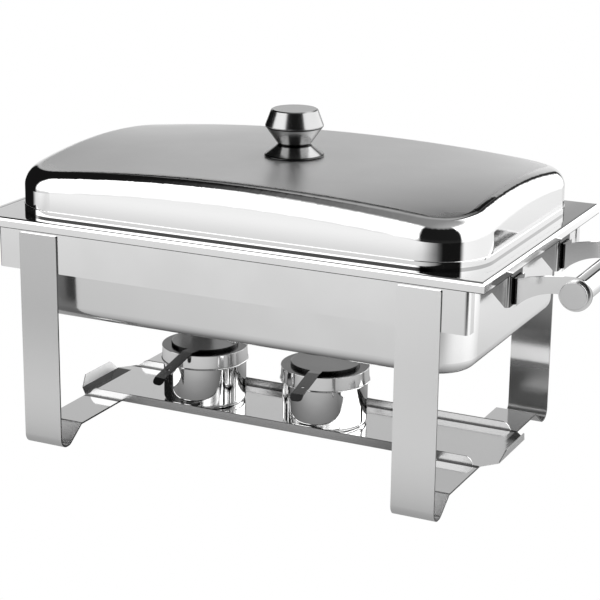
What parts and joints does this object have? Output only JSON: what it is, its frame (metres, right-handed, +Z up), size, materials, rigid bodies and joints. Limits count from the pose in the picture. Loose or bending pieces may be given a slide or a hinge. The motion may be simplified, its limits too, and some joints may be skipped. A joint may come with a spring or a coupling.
{
  "type": "chafing dish food warmer",
  "caption": "Rectangular stainless chafing dish: arched lid with knob, food pan, water pan with end handles, strip-leg stand, and a slide-out tray of burners with swinging snuffers.",
  "frame": {"origin": "on the floor, below the middle of the dish", "axes": "+X along the length, towards the right-hand handle; +Y from the front to the rear; +Z up"},
  "size_m": [0.7146, 0.362, 0.3684],
  "materials": {
    "leg_steel": "polished stainless steel sheet",
    "polished_steel": "mirror-polished stainless steel",
    "pan_steel": "satin stainless steel",
    "tray_steel": "bright-rolled stainless steel",
    "snuffer_steel": "satin stainless steel",
    "plated_plastic": "chrome plating on moulded plastic"
  },
  "bodies": {
    "stand": {"left_leg_frame": "leg_steel", "right_leg_frame": "leg_steel", "front_rail": "leg_steel", "rear_rail": "leg_steel"},
    "water_pan_with_handles": {"water_pan": "polished_steel", "handle_rivets": "leg_steel", "left_front_handle_bracket": "leg_steel", "left_front_handle_arm": "leg_steel", "left_front_tube_cap": "plated_plastic", "left_rear_handle_bracket": "leg_steel", "left_rear_handle_arm": "leg_steel", "left_rear_tube_cap": "plated_plastic", "right_front_handle_bracket": "leg_steel", "right_front_handle_arm": "leg_steel", "right_front_tube_cap": "plated_plastic", "right_rear_handle_bracket": "leg_steel", "right_rear_handle_arm": "leg_steel", "right_rear_tube_cap": "plated_plastic", "left_handle_tube": "polished_steel", "right_handle_tube": "polished_steel"},
    "food_pan": {"food_pan": "pan_steel"},
    "lid": {"lid_shell": "polished_steel", "lid_knob": "plated_plastic", "knob_screw": "leg_steel", "knob_washer": "leg_steel"},
    "burner_tray": {"burner_tray": "tray_steel"},
    "left_cup": {"left_burner_cup": "polished_steel"},
    "left_ring": {"left_cover_ring": "polished_steel", "left_snuffer_rivet": "leg_steel"},
    "left_snuffer": {"left_snuffer": "snuffer_steel"},
    "right_cup": {"right_burner_cup": "polished_steel"},
    "right_ring": {"right_cover_ring": "polished_steel", "right_snuffer_rivet": "leg_steel"},
    "right_snuffer": {"right_snuffer": "snuffer_steel"}
  },
  "joints": [
    {"name": "water_pan_lift", "type": "slide", "parent": "stand", "child": "water_pan_with_handles", "axis": [0, 0, 1], "range_m": [0, 0.125]},
    {"name": "food_pan_lift", "type": "slide", "parent": "water_pan_with_handles", "child": "food_pan", "axis": [0, 0, 1], "range_m": [0, 0.075]},
    {"name": "lid_lift", "type": "slide", "parent": "food_pan", "child": "lid", "axis": [0, 0, 1], "range_m": [0, 0.1]},
    {"name": "burner_tray_slide", "type": "slide", "parent": "stand", "child": "burner_tray", "axis": [1, 0, 0], "range_m": [0, 0.52]},
    {"name": "left_cup_lift", "type": "slide", "parent": "burner_tray", "child": "left_cup", "axis": [0, 0, 1], "range_m": [0, 0.03]},
    {"name": "left_ring_lift", "type": "slide", "parent": "left_cup", "child": "left_ring", "axis": [0, 0, 1], "range_m": [0, 0.02]},
    {"name": "left_snuffer_swing", "type": "hinge", "parent": "left_ring", "child": "left_snuffer", "pos_m": [-0.07976, 0.01023, 0.088], "axis": [0, 0, 1], "range_deg": [0, 74]},
    {"name": "right_cup_lift", "type": "slide", "parent": "burner_tray", "child": "right_cup", "axis": [0, 0, 1], "range_m": [0, 0.03]},
    {"name": "right_ring_lift", "type": "slide", "parent": "right_cup", "child": "right_ring", "axis": [0, 0, 1], "range_m": [0, 0.02]},
    {"name": "right_snuffer_swing", "type": "hinge", "parent": "right_ring", "child": "right_snuffer", "pos_m": [0.0712, 0.016, 0.088], "axis": [0, 0, 1], "range_deg": [0, 120]}
  ]
}
